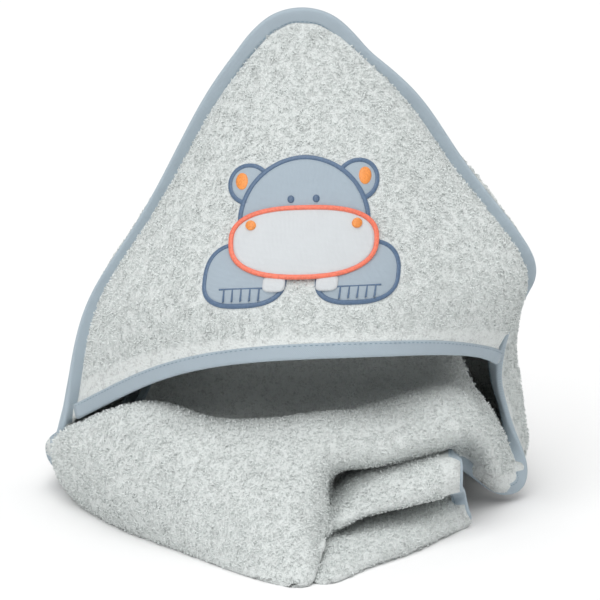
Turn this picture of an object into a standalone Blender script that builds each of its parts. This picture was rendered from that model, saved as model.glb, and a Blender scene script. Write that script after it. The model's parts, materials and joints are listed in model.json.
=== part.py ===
"""Hooded baby towel standing on its hood, the rest of the towel bundled inside and in front.

It is a square terry towel with rounded corners, a triangular terry hood panel sewn on one corner,
a bias tape folded over every edge, another over the hood's hem, and an animal motif sewn on the
hood: fabric patches with satin stitch round them.

A sheet of cloth is described by fold lines. A fold line runs across the sheet from its left edge to
its right edge, and the sheet is the smooth surface through all its fold lines, from the hood's
corner to the far corner, which is tucked under the bundle. Fold lines are drawn in millimetres.
+X is to the right, +Y to the back, +Z up, and the origin is on the floor under the middle.
"""

import math

import bmesh
import bpy
import numpy as np
from mathutils import Matrix

# The bundle's overall size, in metres.
WIDTH = 0.356
DEPTH = 0.354
HEIGHT = 0.361

# The cloth.
TERRY = 0.003              # the towelling's thickness
CLEAR = 0.0003             # between pieces that are sewn together
TAPE_ROUND = 0.0015        # how far the tape's fold is rounded
SEAM_TURN = 0.0028         # room for the two sheets to turn apart inside the hood's seam
PRESSED = 0.0003           # how much of the cloth's underside is pressed flat on the floor
TRIM_WIDER = 0.0009         # how much wider the room cut for the tape is than the tape
TRIM_TALLER = 0.0012        # how much taller the room is than the tape, on each side
EDGE_GAP = 0.0015          # room for one sheet to bend beside the tape
EVEN_TURNS = 6             # passes that even out the way that the tape leans along its run
TAPE_TAPER = 0.5           # the tape's height at its rim, as a share of its height at its fold
TAPE = 0.0005              # the bias tape's thickness
TAPE_WIDTH = 0.0105        # the tape's width on each face of the cloth
HEM_TAPE_END = 0.010       # how far the hem tape stops short of the edge tape

# The towel's fold lines, in millimetres, from the left edge to the right edge.
TOWEL_FOLDS = (
    ("crown", ((-71, 53, 290), (-58, 64, 293), (-42, 73, 299), (-22, 79, 304), (0, 81, 307),
               (22, 79, 307), (42, 73, 305), (62, 62, 302), (82, 50, 296))),
    ("nape", ((-106, 55, 222), (-97, 82, 226), (-75, 103, 234), (-40, 117, 241), (0, 122, 244),
              (40, 117, 245), (76, 104, 246), (104, 80, 247), (119, 49, 242))),
    ("shoulder", ((-137, 55, 172), (-131, 88, 171), (-103, 120, 175), (-56, 139, 180), (0, 145, 183),
                  (56, 139, 185), (108, 121, 186), (148, 86, 187), (163, 43, 183))),
    ("back", ((-160, 55, 122), (-155, 96, 117), (-122, 134, 117), (-64, 154, 120), (0, 160, 122),
              (64, 154, 123), (120, 136, 125), (154, 106, 130), (158, 66, 142))),
    ("hem_level", ((-172, 51, 54), (-167, 100, 54), (-132, 143, 54), (-68, 163, 56), (0, 168, 57),
                   (68, 163, 58), (126, 146, 60), (156, 112, 68), (142, 70, 93))),
    ("floor_bend", ((-178, 68, 26), (-172, 114, 8), (-135, 154, 2), (-70, 173, 1), (0, 178, 1),
                    (70, 173, 1), (128, 154, 2), (162, 120, 14), (145, 66, 66))),
    ("under", ((-158, 96, 9), (-140, 110, 3), (-102, 124, 1), (-54, 134, 1), (0, 136, 1),
               (54, 132, 1), (100, 120, 5), (138, 98, 14), (150, 61, 50))),
    ("inner_back", ((-136, 108, 34), (-124, 110, 46), (-96, 118, 62), (-50, 126, 70), (0, 128, 72),
                    (50, 124, 72), (90, 112, 68), (124, 88, 54), (155, 57, 42))),
    ("inner_rise", ((-122, 104, 78), (-112, 106, 90), (-86, 110, 130), (-46, 114, 152), (0, 114, 156),
                    (46, 110, 154), (82, 98, 138), (112, 78, 90), (158, 54, 35))),
    ("inner_top", ((-104, 90, 112), (-97, 90, 128), (-78, 88, 184), (-44, 84, 230), (0, 82, 244),
                   (44, 80, 236), (78, 76, 196), (108, 66, 110), (161, 52, 28))),
    ("inner_fall", ((-112, 74, 78), (-104, 72, 90), (-82, 68, 122), (-46, 62, 146), (0, 60, 154),
                    (42, 58, 152), (74, 55, 138), (106, 58, 100), (162, 49, 21))),
    ("cave_hump", ((-126, 72, 54), (-118, 68, 64), (-90, 62, 84), (-52, 56, 94), (0, 52, 98),
                   (36, 46, 104), (70, 46, 108), (108, 48, 94), (161, 46, 14))),
    ("trough", ((-138, 68, 46), (-132, 56, 54), (-98, 30, 60), (-52, 16, 56), (-8, 8, 60),
                (24, 6, 70), (62, 12, 86), (110, 26, 90), (157, 42, 8))),
    ("lip", ((-147, 72, 38), (-164, 46, 54), (-114, -2, 82), (-60, -34, 82), (-10, -50, 86),
             (22, -50, 90), (66, -32, 92), (116, -2, 88), (148, 36, 6))),
    ("roll_front", ((-150, 76, 24), (-178, 48, 33), (-130, -34, 54), (-70, -82, 56), (-12, -108, 54),
                    (18, -84, 66), (62, -62, 72), (120, -24, 74), (136, 30, 10))),
    ("front_foot", ((-142, 74, 9), (-162, 50, 4), (-128, -24, 1), (-72, -94, 1), (0, -160, 1),
                    (16, -68, 46), (58, -46, 56), (112, -12, 60), (122, 24, 22))),
    ("gap", ((-132, 68, 13), (-140, 46, 9), (-112, -10, 8), (-62, -68, 8), (6, -128, 14),
             (22, -40, 36), (56, -14, 44), (102, 6, 46), (110, 16, 34))),
    ("flap_top", ((-122, 60, 17), (-124, 42, 14), (-98, -4, 13), (-52, -54, 13), (10, -98, 18),
                  (32, -58, 38), (62, -60, 50), (98, -42, 54), (112, -36, 52))),
    ("flap_front", ((-112, 54, 21), (-112, 38, 19), (-86, 0, 18), (-44, -44, 18), (14, -88, 22),
                    (36, -90, 30), (64, -84, 34), (98, -64, 38), (112, -54, 40))),
    ("flap_tuck", ((-102, 52, 24), (-100, 36, 23), (-74, 4, 23), (-36, -34, 22), (16, -66, 20),
                   (38, -62, 24), (66, -44, 26), (100, -30, 28), (114, -26, 30))),
    ("flap_back", ((-90, 46, 29), (-88, 32, 28), (-64, 6, 27), (-30, -28, 24), (16, -62, 16),
                   (36, -44, 16), (66, -30, 18), (104, -20, 20), (116, -16, 20))),
    ("pocket", ((-80, 40, 32), (-76, 28, 31), (-56, 6, 29), (-26, -26, 24), (12, -112, 11),
                (38, -106, 13), (70, -80, 15), (104, -42, 15), (118, -28, 13))),
    ("right_foot", ((-74, 32, 24), (-68, 20, 22), (-50, -2, 18), (-24, -40, 11), (6, -148, 1),
                    (38, -124, 1), (72, -84, 1), (102, -36, 1), (118, -16, 4))),
    ("under_front", ((-78, 22, 11), (-72, 14, 8), (-52, -8, 4), (-24, -40, 1), (2, -96, 1),
                     (28, -78, 1), (58, -50, 1), (84, -10, 1), (94, 4, 4))),
    ("coil_back", ((-74, 58, 4), (-66, 58, 1), (-46, 52, 1), (-20, 30, 1), (4, 0, 1),
                   (28, 6, 1), (52, 28, 1), (74, 48, 1), (82, 56, 4))),
    ("coil_rise", ((-66, 88, 26), (-58, 90, 28), (-40, 92, 28), (-16, 88, 28), (8, 74, 28),
                   (30, 66, 28), (54, 70, 28), (72, 78, 28), (80, 82, 28))),
    ("coil_top", ((-58, 58, 46), (-50, 58, 48), (-36, 56, 48), (-14, 50, 48), (8, 40, 48),
                  (28, 36, 50), (50, 40, 50), (66, 46, 50), (74, 50, 50))),
    ("coil_front", ((-44, 34, 32), (-38, 32, 33), (-26, 28, 33), (-8, 16, 33), (10, 4, 32),
                    (26, 6, 33), (44, 14, 34), (58, 24, 34), (66, 30, 34))),
    ("tail_seam", ((-34, 44, 16), (-28, 42, 16), (-18, 38, 16), (-4, 28, 16), (10, 20, 16),
                   (22, 22, 16), (36, 28, 16), (48, 36, 16), (54, 40, 16))),
    ("tail", ((-28, 54, 14), (-23, 52, 14), (-15, 49, 14), (-3, 40, 14), (10, 32, 14),
              (20, 34, 14), (32, 39, 14), (42, 46, 14), (47, 50, 14))),
)

# The hood panel's fold lines, at the same heights on the seams as the towel's first five.
PANEL_FOLDS = (
    ("crown", ((-71, 53, 290), (-57, 45, 296), (-40, 35, 300), (-20, 28, 302), (0, 26, 303),
               (22, 27, 304), (43, 32, 304), (65, 42, 302), (82, 50, 296))),
    ("nape", ((-106, 55, 222), (-89, 33, 234), (-65, 10, 243), (-34, -6, 249), (0, -12, 252),
              (36, -8, 253), (71, 8, 253), (101, 31, 250), (119, 49, 242))),
    ("shoulder", ((-137, 55, 172), (-119, 24, 186), (-88, -9, 198), (-46, -32, 207), (0, -40, 210),
                  (48, -33, 210), (96, -12, 207), (140, 15, 199), (163, 43, 183))),
    ("cheek", ((-160, 55, 122), (-141, 20, 138), (-108, -19, 156), (-58, -51, 170), (-4, -63, 175),
               (50, -54, 175), (102, -26, 171), (150, 12, 160), (158, 66, 142))),
    ("hem", ((-172, 51, 54), (-138, 13, 82), (-103, -25, 109), (-61, -57, 129), (-9, -78, 140),
             (47, -70, 140), (92, -36, 132), (125, 11, 117), (142, 70, 93))),
)

# The hood's rounded corner, above the first fold line, in millimetres.
CORNER_TOP = 359.0
CORNER_RADIUS = 46.0
CORNER_TURN = 56.0         # degrees that the corner turns through on each side of its top
CORNER_Y = 50.0
DRAWN = (356.0, 354.0, 361.0)      # the width, depth and height that the fold lines are drawn at
SCALE = np.array((WIDTH / DRAWN[0], DEPTH / DRAWN[1], HEIGHT / DRAWN[2]))

# How finely the sheets are divided.
ROWS_PER_FOLD = 2
COLUMNS = 16
HEART_ROW = 4              # the hood's seam points in towards the middle of the hood from here down
STEEPEST = 0.62            # the sine of the sharpest angle that a row may meet an edge at

# The motif, in metres, drawn flat about the middle of the muzzle, +X right and +Y up the hood.
MOTIF_WIDTH = 0.138
MOTIF_DOWN = 0.176         # from the hood's corner down to the muzzle's middle, along the panel
PATCH = 0.0006             # the patch fabric's thickness
STITCH = 0.0009            # the satin stitch's height
STITCH_WIDTH = 0.0034
NAP_GAP = 0.0005           # room between the curved panel and what is sewn on it
LAYER = STITCH + NAP_GAP   # from one layer of the motif up to the next

# Each oval is (middle x, middle y, half width, half height up, half height down, squareness),
# in parts of the motif's width.
HEAD = (0.0, 0.11, 0.31, 0.33, 0.20, 1.9)
MUZZLE = (0.0, 0.0, 0.35, 0.165, 0.18, 2.5)
EAR = (0.275, 0.32, 0.09, 0.09, 0.09, 2.0)
EAR_FILL = (0.31, 0.335, 0.034, 0.046, 0.046, 2.0)
EYE = (0.062, 0.225, 0.017, 0.02, 0.02, 2.0)
NOSTRIL = (0.26, 0.085, 0.026, 0.026, 0.026, 2.0)
TOOTH = (0.13, -0.225, 0.045, 0.03, 0.03, 3.5)
FOOT = (0.29, -0.20, 0.195, 0.185, 0.115, 2.6)
GRID_LINE = 0.0009         # the width of a line of the stitched grid on a foot
GRID_PITCH = 0.0062
GRID_ROWS = 2
GRID_COLUMNS = 4


# ---------------------------------------------------------------- materials

def material(name, color, roughness):
    made = bpy.data.materials.new(name)
    made.use_nodes = True
    shader = made.node_tree.nodes["Principled BSDF"]
    shader.inputs["Base Color"].default_value = (*color, 1.0)
    shader.inputs["Roughness"].default_value = roughness
    shader.inputs["Metallic"].default_value = 0.0
    return made


def make_materials():
    return {
        "terry": material("terry", (0.62, 0.66, 0.65), 0.95),
        "tape": material("tape", (0.50, 0.61, 0.67), 0.8),
        "patch_grey": material("patch_grey", (0.50, 0.56, 0.64), 0.8),
        "patch_white": material("patch_white", (0.82, 0.86, 0.88), 0.8),
        "thread_blue": material("thread_blue", (0.11, 0.16, 0.27), 0.5),
        "thread_coral": material("thread_coral", (0.90, 0.22, 0.12), 0.5),
        "thread_orange": material("thread_orange", (0.95, 0.33, 0.10), 0.5),
    }


# ---------------------------------------------------------------- the smooth surface

def spline_weights(count, places):
    """Rows of weights that carry evenly spaced points to a smooth curve through them."""
    knots = np.zeros((count, count))
    for i in range(count):
        if i in (0, count - 1):
            knots[i, i] = 1.0
        else:
            knots[i, i - 1:i + 2] = (1 / 6, 4 / 6, 1 / 6)
    padded = np.zeros((count + 2, count))
    padded[1:-1] = np.linalg.inv(knots)
    padded[0] = 2 * padded[1] - padded[2]
    padded[-1] = 2 * padded[-2] - padded[-3]
    places = np.clip(np.asarray(places, dtype=float), 0, count - 1)
    first = np.minimum(places.astype(int), count - 2)
    f = places - first
    basis = ((1 - f) ** 3 / 6, (3 * f ** 3 - 6 * f ** 2 + 4) / 6,
             (-3 * f ** 3 + 3 * f ** 2 + 3 * f + 1) / 6, f ** 3 / 6)
    weights = np.zeros((len(places), count))
    for k, share in enumerate(basis):
        weights += share[:, None] * padded[first + k]
    return weights


def corner_line(inset, columns):
    """A fold line along the rounded corner, or inset from it with its ends on the sheet's edges."""
    line = []
    for turn in np.linspace(-1, 1, columns):
        angle = math.radians(CORNER_TURN) * turn
        outward = np.array((math.sin(angle), 0, math.cos(angle)))
        down_edge = np.array((math.copysign(math.cos(angle), turn), 0, -abs(math.sin(angle))))
        share = abs(turn) ** 3
        middle = np.array((0, CORNER_Y, CORNER_TOP - CORNER_RADIUS))
        line.append(middle + CORNER_RADIUS * outward
                    + inset * (share * down_edge - (1 - share) * outward))
    return line


def fold_net(folds):
    """The sheet's control points: the rounded corner, its seam and then the fold lines."""
    columns = len(folds[0][1])
    lines = [corner_line(0, columns), corner_line(TAPE_WIDTH * 1000, columns)]
    lines += [points for _, points in folds]
    return np.array(lines, dtype=float) * SCALE


def on_net(net, along, across):
    """Points of the smooth surface at paired places along and across its fold lines, on the floor
    where they would be below it."""
    rows = spline_weights(net.shape[0], along)
    columns = spline_weights(net.shape[1], across)
    points = np.einsum("ni,nj,ijk->nk", rows, columns, net)
    points[:, 2] = np.maximum(points[:, 2], TERRY / 2)
    return points


def line_places(net, along, left, right):
    """Places across a fold line: the edges, the seams at two distances from them, and between
    the seams even steps."""
    dense = np.linspace(0, net.shape[1] - 1, 200)
    points = on_net(net, np.full(dense.shape, along), dense)
    run = np.concatenate(([0], np.cumsum(np.linalg.norm(np.diff(points, axis=0), axis=1))))
    inner = np.linspace(left, run[-1] - right, COLUMNS - 1)
    return np.interp(np.concatenate(([0], inner, [run[-1]])), run, dense)


def grid_through(net, alongs, left, right):
    acrosses = [line_places(net, *row) for row in zip(alongs, left, right)]
    return np.array([on_net(net, np.full(across.shape, along), across)
                     for along, across in zip(alongs, acrosses)])


def sheet_grid(net, alongs):
    """The sheet as a grid of points (rows, columns, 3), its seams a tape's width inside its edges."""
    even = np.full(len(alongs), TAPE_WIDTH)
    rough = grid_through(net, alongs, even, even)
    left = tape_reach(rough[:, 0], rough[:, 1] - rough[:, 0])
    right = tape_reach(rough[:, -1], rough[:, -2] - rough[:, -1])
    return grid_through(net, alongs, left, right)


def tape_reach(edge, way):
    """How far to go each way from the edge to be a tape's width away from it."""
    slant = np.linalg.norm(np.cross(unit(np.gradient(edge, axis=0)), unit(way)), axis=1)
    return TAPE_WIDTH / np.maximum(slant, STEEPEST)


def unit(vectors):
    return vectors / np.maximum(np.linalg.norm(vectors, axis=-1, keepdims=True), 1e-12)


# ---------------------------------------------------------------- making pieces

def finish(ob, slot, materials, parts):
    ob.data.materials.clear()
    ob.data.materials.append(materials[slot])
    for user in list(ob.users_collection):
        user.objects.unlink(ob)
    parts.objects.link(ob)
    ob.data.shade_smooth()


def grid_object(name, points, closed=False):
    """An open grid of faces through points (rows, columns, 3), or a belt where the rows close."""
    rows, columns = points.shape[:2]
    bpy.ops.mesh.primitive_grid_add(x_subdivisions=columns - 1, y_subdivisions=rows - 1)
    ob = bpy.context.object
    ob.name = name
    ob.data.name = name
    ob.data.vertices.foreach_set("co", points.reshape(-1).astype(np.float32))
    if closed:
        mesh = bmesh.new()
        mesh.from_mesh(ob.data)
        mesh.verts.ensure_lookup_table()
        last = (rows - 1) * columns
        ends = {mesh.verts[last + k]: mesh.verts[k] for k in range(columns)}
        bmesh.ops.weld_verts(mesh, targetmap=ends)
        mesh.to_mesh(ob.data)
        mesh.free()
    ob.data.update()
    return ob


def thicken(ob, thickness, offset):
    wall = ob.modifiers.new("thickness", "SOLIDIFY")
    wall.thickness = thickness
    wall.offset = offset
    wall.use_even_offset = False


def cut(ob, cutter):
    room = ob.modifiers.new(cutter.name, "BOOLEAN")
    room.operation = "DIFFERENCE"
    room.solver = "MANIFOLD"
    room.object = cutter


def put_away(cutter, cutters):
    for user in list(cutter.users_collection):
        user.objects.unlink(cutter)
    cutters.objects.link(cutter)
    cutter.hide_render = True
    cutter.display_type = "WIRE"


# ---------------------------------------------------------------- the sheets and their tapes

def side_stations(columns, first_row, last_row):
    """Edge points of a sheet's grid with the seam points inside them: up the left edge from
    last_row, over the rounded corner, and down the right edge to last_row."""
    left = [((i, 0), (i, 1)) for i in range(last_row, first_row, -1)]
    top = [((0, 0), (1, 1))]
    top += [((0, j), (1, j)) for j in range(2, columns - 2)]
    top += [((0, columns - 1), (1, columns - 2))]
    right = [((i, columns - 1), (i, columns - 2)) for i in range(first_row + 1, last_row + 1)]
    return left + top + right


def square_to(vectors, run):
    """The part of each vector that is square to its run."""
    return vectors - (vectors * run).sum(axis=1)[:, None] * run


def pick(grid, places):
    return np.array([grid[place] for place in places])


def seam_lines(towel, panel, hem_row):
    """Lays both sheets' seam points just inside the edge tape, and gives the tape's own lines.

    For each station round the towel: the edge, the way in, the way out of the back, the distance
    to the tape's rim, and half the tape's height over the cloth that it holds.
    """
    last = len(towel) - 1
    columns = towel.shape[1]
    stations = side_stations(columns, 1, last - 2)
    stations += [((last, columns - 1), (last - 1, columns - 2))]
    stations += [((last, j), (last - 1, j)) for j in range(columns - 3, 1, -1)]
    stations += [((last, 0), (last - 1, 1))]
    outer = [place for place, _ in stations]
    inner = [place for _, place in stations]
    doubled = np.array([place[0] <= hem_row for place in outer])
    edge = pick(towel, outer)
    run = unit(np.roll(edge, -1, axis=0) - np.roll(edge, 1, axis=0))
    toward = pick(towel, inner) - edge
    for k, place in enumerate(outer):
        if doubled[k]:
            row = max(place[0], HEART_ROW)
            toward[k] = (towel[row, columns // 2] + panel[row, columns // 2]) / 2 - edge[k]
    inward = unit(square_to(toward, run))
    for _ in range(EVEN_TURNS):
        beside = np.roll(inward, 1, axis=0) + np.roll(inward, -1, axis=0)
        inward = unit(square_to(inward + beside / 2, run))
    across = np.cross(run, inward)
    reach = np.full((len(edge), 1), TAPE_WIDTH)
    half = np.where(doubled, TERRY + CLEAR / 2, TERRY / 2)[:, None] + TAPE
    for k, place in enumerate(inner):
        if doubled[k]:
            turn = SEAM_TURN * (2 if place[0] == 1 else 1)
            seam = edge[k] + (reach[k] + turn) * inward[k]
            apart = (TERRY + SEAM_TURN) / 2 * across[k]
            towel[place] = seam + apart
            if place[0] == hem_row - 1:
                along_hem = unit(panel[place] - edge[k])
                seam = panel[place] + turn * along_hem
            panel[place] = seam - apart
        else:
            towel[place] = edge[k] + (reach[k] + EDGE_GAP) * inward[k]
    return edge, inward, across, reach, half


def make_sheets():
    """The towel's and the hood panel's grids and nets, and the row of the hood's hem."""
    towel_net = fold_net(TOWEL_FOLDS)
    panel_net = fold_net(PANEL_FOLDS)
    hem = len(panel_net) - 1
    ends = on_net(panel_net, [hem - 1, hem], [panel_net.shape[1] / 2] * 2)
    hem_seam = hem - (TAPE_WIDTH + EDGE_GAP) / np.linalg.norm(ends[1] - ends[0])
    hood = np.concatenate(([0], np.linspace(1, hem, (hem - 1) * ROWS_PER_FOLD + 1)))
    hood = np.sort(np.append(hood, hem_seam))
    last = len(towel_net) - 1
    below = np.linspace(hem, last - 1, (last - 1 - hem) * ROWS_PER_FOLD + 1)[1:]
    towel = sheet_grid(towel_net, np.concatenate((hood, below, [last])))
    panel = sheet_grid(panel_net, hood)
    return towel, panel, panel_net, len(hood) - 1


def tape_band(name, edge, inward, across, reach, half, closed):
    """A tape folded over an edge, with the cloth that it holds, as one band."""
    shoulder = edge + TAPE_ROUND * inward
    rim = edge + reach * inward
    thin = TAPE_TAPER * half
    lines = np.stack((rim + thin * across, shoulder + half * across, edge,
                      shoulder - half * across, rim - thin * across,
                      rim + thin * across), axis=1)
    if closed:
        lines = np.concatenate((lines, lines[:1]))
    ob = grid_object(name, lines)
    mesh = bmesh.new()
    mesh.from_mesh(ob.data)
    bmesh.ops.remove_doubles(mesh, verts=mesh.verts[:], dist=1e-6)
    open_ends = [joint for joint in mesh.edges if joint.is_boundary]
    bmesh.ops.holes_fill(mesh, edges=open_ends, sides=5)
    bmesh.ops.recalc_face_normals(mesh, faces=mesh.faces[:])
    mesh.to_mesh(ob.data)
    mesh.free()
    return ob


def make_towel(materials, parts, cutters):
    towel, panel, panel_net, hem_row = make_sheets()
    hem_edge = panel[hem_row, 1:-1].copy()
    hem_seam = panel[hem_row - 1, 1:-1].copy()
    lines = seam_lines(towel, panel, hem_row)
    edge, inward, across, reach, half = lines
    room = tape_band("tape_room", edge - CLEAR * inward, inward, across, reach + TRIM_WIDER,
                     half + TRIM_TALLER, True)
    bpy.ops.mesh.primitive_cube_add(size=2 * (WIDTH + DEPTH))
    floor = bpy.context.object
    floor.name = "floor_room"
    floor.data.transform(Matrix.Translation((0, 0, PRESSED - WIDTH - DEPTH)))
    for cutter in (room, floor):
        put_away(cutter, cutters)
    band = tape_band("edge_binding", *lines, True)
    cut(band, floor)
    finish(band, "tape", materials, parts)

    for line in (hem_edge, hem_seam):
        line[0] += HEM_TAPE_END * unit(line[1] - line[0])
        line[-1] += HEM_TAPE_END * unit(line[-2] - line[-1])
    inward = unit(hem_seam - hem_edge)
    across = unit(np.cross(np.gradient(hem_edge, axis=0), inward))
    reach = np.linalg.norm(hem_seam - hem_edge, axis=1)[:, None] - EDGE_GAP
    half = np.full(reach.shape, TERRY / 2 + TAPE)
    hem_room = tape_band("hem_tape_room", hem_edge, inward, across, reach + TRIM_WIDER,
                         half + TRIM_TALLER, False)
    put_away(hem_room, cutters)
    finish(tape_band("hood_hem_binding", hem_edge, inward, across, reach, half, False),
           "tape", materials, parts)

    for name, points in (("towel_body", towel[1:-1, 1:-1]), ("hood_panel", panel[1:hem_row, 1:-1])):
        sheet = grid_object(name, points)
        thicken(sheet, TERRY, 0.0)
        if name == "towel_body":
            cut(sheet, room)
            cut(sheet, floor)
        else:
            cut(sheet, hem_room)
        finish(sheet, "terry", materials, parts)
    return panel_net


# ---------------------------------------------------------------- the motif

class Panel:
    """The hood panel's surface, addressed by distances along the cloth."""

    def __init__(self, net):
        self.net = net
        self.alongs = np.linspace(0, len(net) - 1, 60)
        self.acrosses = np.linspace(0, net.shape[1] - 1, 80)
        grid = np.array([on_net(net, np.full(self.acrosses.shape, along), self.acrosses)
                         for along in self.alongs])
        middle = len(self.acrosses) // 2
        down = np.linalg.norm(np.diff(grid[:, middle], axis=0), axis=1)
        self.down = np.concatenate(([0], np.cumsum(down)))
        side = np.cumsum(np.linalg.norm(np.diff(grid, axis=1), axis=2), axis=1)
        side = np.concatenate((np.zeros((len(grid), 1)), side), axis=1)
        self.side = side - side[:, middle:middle + 1]

    def point(self, x, y):
        """The place on the cloth at x to the side of the motif's middle and y above it."""
        row = np.interp(MOTIF_DOWN - y, self.down, np.arange(len(self.down)))
        low = int(min(row, len(self.down) - 2))
        side = self.side[low] + (row - low) * (self.side[low + 1] - self.side[low])
        across = np.interp(x, side, self.acrosses)
        along = np.interp(row, np.arange(len(self.alongs)), self.alongs)
        step = 0.02
        around = on_net(self.net, [along, along + step, along - step, along, along],
                        [across, across, across, across + step, across - step])
        normal = np.cross(around[3] - around[4], around[1] - around[2])
        return around[0], -unit(normal)

    def lay(self, flat, lift):
        """Carries flat points (..., 2) onto the panel, lifted off its front face."""
        points = [self.point(x, y) for x, y in flat.reshape(-1, 2)]
        laid = [place + (TERRY / 2 + lift) * normal for place, normal in points]
        return np.array(laid).reshape(*flat.shape[:-1], 3)


def oval(shape, turns, grow=0.0):
    """Points of a squared oval, grown outward by a distance."""
    x, y, half_width, up, down, square = (value * MOTIF_WIDTH for value in shape)
    square = shape[5]
    cosine = np.cos(turns)
    sine = np.sin(turns)
    tall = np.where(sine >= 0, up, down) + grow
    px = x + (half_width + grow) * np.sign(cosine) * np.abs(cosine) ** (2 / square)
    py = y + tall * np.sign(sine) * np.abs(sine) ** (2 / square)
    return np.stack((px, py), axis=-1)


def mirrored(shape, side):
    return (shape[0] * side,) + shape[1:]


def make_patch(name, shape, level, slot, panel, materials, parts, count=28, rings=3, height=PATCH):
    """A piece of fabric cut to an oval and laid on the panel."""
    turns = np.linspace(0, 2 * math.pi, count + 1)
    edge = oval(shape, turns)
    middle = np.array(shape[:2]) * MOTIF_WIDTH
    shares = np.linspace(1, 0.2, rings)
    flat = middle + shares[None, :, None] * (edge[:, None] - middle)
    ob = grid_object(name, panel.lay(flat, NAP_GAP + level * LAYER), True)
    mesh = bmesh.new()
    mesh.from_mesh(ob.data)
    mesh.verts.ensure_lookup_table()
    inner = {mesh.verts[k * rings + rings - 1] for k in range(count)}
    rim = [edge for edge in mesh.edges if set(edge.verts) <= inner]
    bmesh.ops.holes_fill(mesh, edges=rim, sides=count)
    bmesh.ops.recalc_face_normals(mesh, faces=mesh.faces[:])
    mesh.to_mesh(ob.data)
    mesh.free()
    face_forward(ob)
    thicken(ob, height, 1.0)
    finish(ob, slot, materials, parts)


def face_forward(ob):
    """Turns a laid piece's faces to the front, so that its thickness rises off the panel."""
    forward = sum(face.normal.y * face.area for face in ob.data.polygons)
    if forward > 0:
        ob.data.flip_normals()


def make_outline(name, shape, level, slot, panel, materials, parts, count=28):
    """Satin stitch round a patch's edge."""
    turns = np.linspace(0, 2 * math.pi, count + 1)
    flat = np.stack([oval(shape, turns, grow) for grow in (CLEAR, CLEAR + STITCH_WIDTH)], axis=1)
    ob = grid_object(name, panel.lay(flat, NAP_GAP + level * LAYER), True)
    face_forward(ob)
    thicken(ob, STITCH, 1.0)
    finish(ob, slot, materials, parts)


def make_foot_grid(name, side, panel, materials, parts):
    """The grid of stitched lines along the bottom of a foot, as one lattice."""
    xs = line_edges(GRID_COLUMNS, GRID_PITCH)
    ys = line_edges(GRID_ROWS, GRID_PITCH * 0.75)
    xs = xs - (xs[0] + xs[-1]) / 2 + side * FOOT[0] * MOTIF_WIDTH
    ys = ys + (FOOT[1] - 0.82 * FOOT[4]) * MOTIF_WIDTH
    flat = np.stack(np.meshgrid(xs, ys), axis=-1)
    ob = grid_object(name, panel.lay(flat, NAP_GAP + LAYER))
    mesh = bmesh.new()
    mesh.from_mesh(ob.data)
    mesh.faces.ensure_lookup_table()
    across = len(xs) - 1
    open_cells = [face for k, face in enumerate(mesh.faces)
                  if (k % across) % 2 == 1 and (k // across) % 2 == 1]
    bmesh.ops.delete(mesh, geom=open_cells, context="FACES")
    mesh.to_mesh(ob.data)
    mesh.free()
    face_forward(ob)
    thicken(ob, PATCH, 1.0)
    finish(ob, "thread_blue", materials, parts)


def line_edges(cells, pitch):
    """Both edges of each line of a grid with this many cells."""
    starts = np.arange(cells + 1) * pitch
    return np.sort(np.concatenate((starts, starts + GRID_LINE)))


def make_motif(net, materials, parts):
    panel = Panel(net)
    use = (panel, materials, parts)
    for side, word in ((-1, "left"), (1, "right")):
        make_patch(f"{word}_foot_patch", mirrored(FOOT, side), 0, "patch_grey", *use)
        make_outline(f"{word}_foot_outline", mirrored(FOOT, side), 0, "thread_blue", *use)
        make_foot_grid(f"{word}_foot_grid", side, *use)
        make_patch(f"{word}_ear_patch", mirrored(EAR, side), 0, "patch_grey", *use, count=16, rings=2)
        make_outline(f"{word}_ear_outline", mirrored(EAR, side), 0, "thread_blue", *use, count=16)
        make_patch(f"{word}_ear_fill", mirrored(EAR_FILL, side), 1, "thread_orange", *use,
                   count=12, rings=2)
        make_patch(f"{word}_tooth", mirrored(TOOTH, side), 1, "patch_white", *use, count=12, rings=2)
        make_patch(f"{word}_eye", mirrored(EYE, side), 2, "thread_blue", *use, count=10, rings=2)
        make_patch(f"{word}_nostril", mirrored(NOSTRIL, side), 3, "thread_orange", *use,
                   count=12, rings=2)
    make_patch("head_patch", HEAD, 1, "patch_grey", *use, rings=4)
    make_outline("head_outline", HEAD, 1, "thread_blue", *use)
    make_patch("muzzle_patch", MUZZLE, 2, "patch_white", *use, rings=4)
    make_outline("muzzle_outline", MUZZLE, 2, "thread_coral", *use)


def centre(pieces):
    """Moves every mesh so that the object stands on the floor with its middle over the origin."""
    graph = bpy.context.evaluated_depsgraph_get()
    corners = []
    for ob in pieces:
        if not ob.hide_render:
            mesh = ob.evaluated_get(graph).data
            points = np.empty(len(mesh.vertices) * 3, dtype=np.float32)
            mesh.vertices.foreach_get("co", points)
            corners += [points.reshape(-1, 3).min(axis=0), points.reshape(-1, 3).max(axis=0)]
    low = np.min(corners, axis=0)
    high = np.max(corners, axis=0)
    away = Matrix.Translation((-(low[0] + high[0]) / 2, -(low[1] + high[1]) / 2, -low[2]))
    for ob in pieces:
        ob.data.transform(away)


def main():
    for ob in list(bpy.data.objects):
        bpy.data.objects.remove(ob, do_unlink=True)
    parts = bpy.data.collections.new("hooded_baby_towel")
    cutters = bpy.data.collections.new("cutters")
    bpy.context.scene.collection.children.link(parts)
    bpy.context.scene.collection.children.link(cutters)
    materials = make_materials()
    panel_net = make_towel(materials, parts, cutters)
    make_motif(panel_net, materials, parts)
    centre(list(parts.objects) + list(cutters.objects))


main()
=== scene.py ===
"""The hooded baby towel's look: towelling with its pile, woven bias tape and a sewn motif.

Both sheets are smooth surfaces through given fold lines, as in the part's own solids. The tape,
the stitches, the pile and the motif are laid along those surfaces, so each follows the cloth.
"""

import json
import math

import bmesh
import bpy
import numpy as np
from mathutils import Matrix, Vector
from mathutils.kdtree import KDTree

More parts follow.
